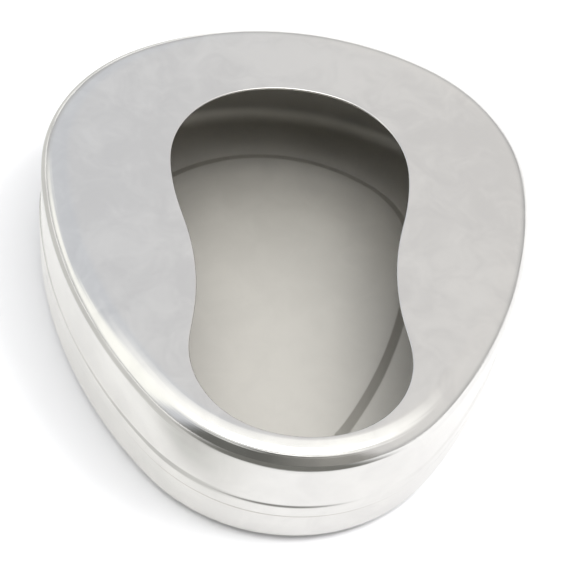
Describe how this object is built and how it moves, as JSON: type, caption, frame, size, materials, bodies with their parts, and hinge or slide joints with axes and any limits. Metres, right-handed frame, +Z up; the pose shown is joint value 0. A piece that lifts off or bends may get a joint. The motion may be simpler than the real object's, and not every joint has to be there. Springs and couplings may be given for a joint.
{
  "type": "bedpan",
  "caption": "Stainless steel bedpan: flat egg-shaped seat deck with a gourd-shaped opening, rolled shoulder and a welded shallow base pan that collects waste.",
  "frame": {"origin": "on the ground under the middle of the pan's overall box", "axes": "+Z up, +Y towards the wide back end, +X to the right when the narrow nose faces the viewer; the pan is the same on both sides of the YZ plane"},
  "size_m": [0.3174, 0.3566, 0.0905],
  "materials": {
    "shell_steel": "polished satin stainless steel",
    "pan_steel": "polished satin stainless steel, duller inside",
    "weld_steel": "dressed weld bead"
  },
  "bodies": {
    "root": {"seat_shell": "shell_steel", "base_pan": "pan_steel", "seam_weld": "weld_steel"}
  },
  "joints": []
}
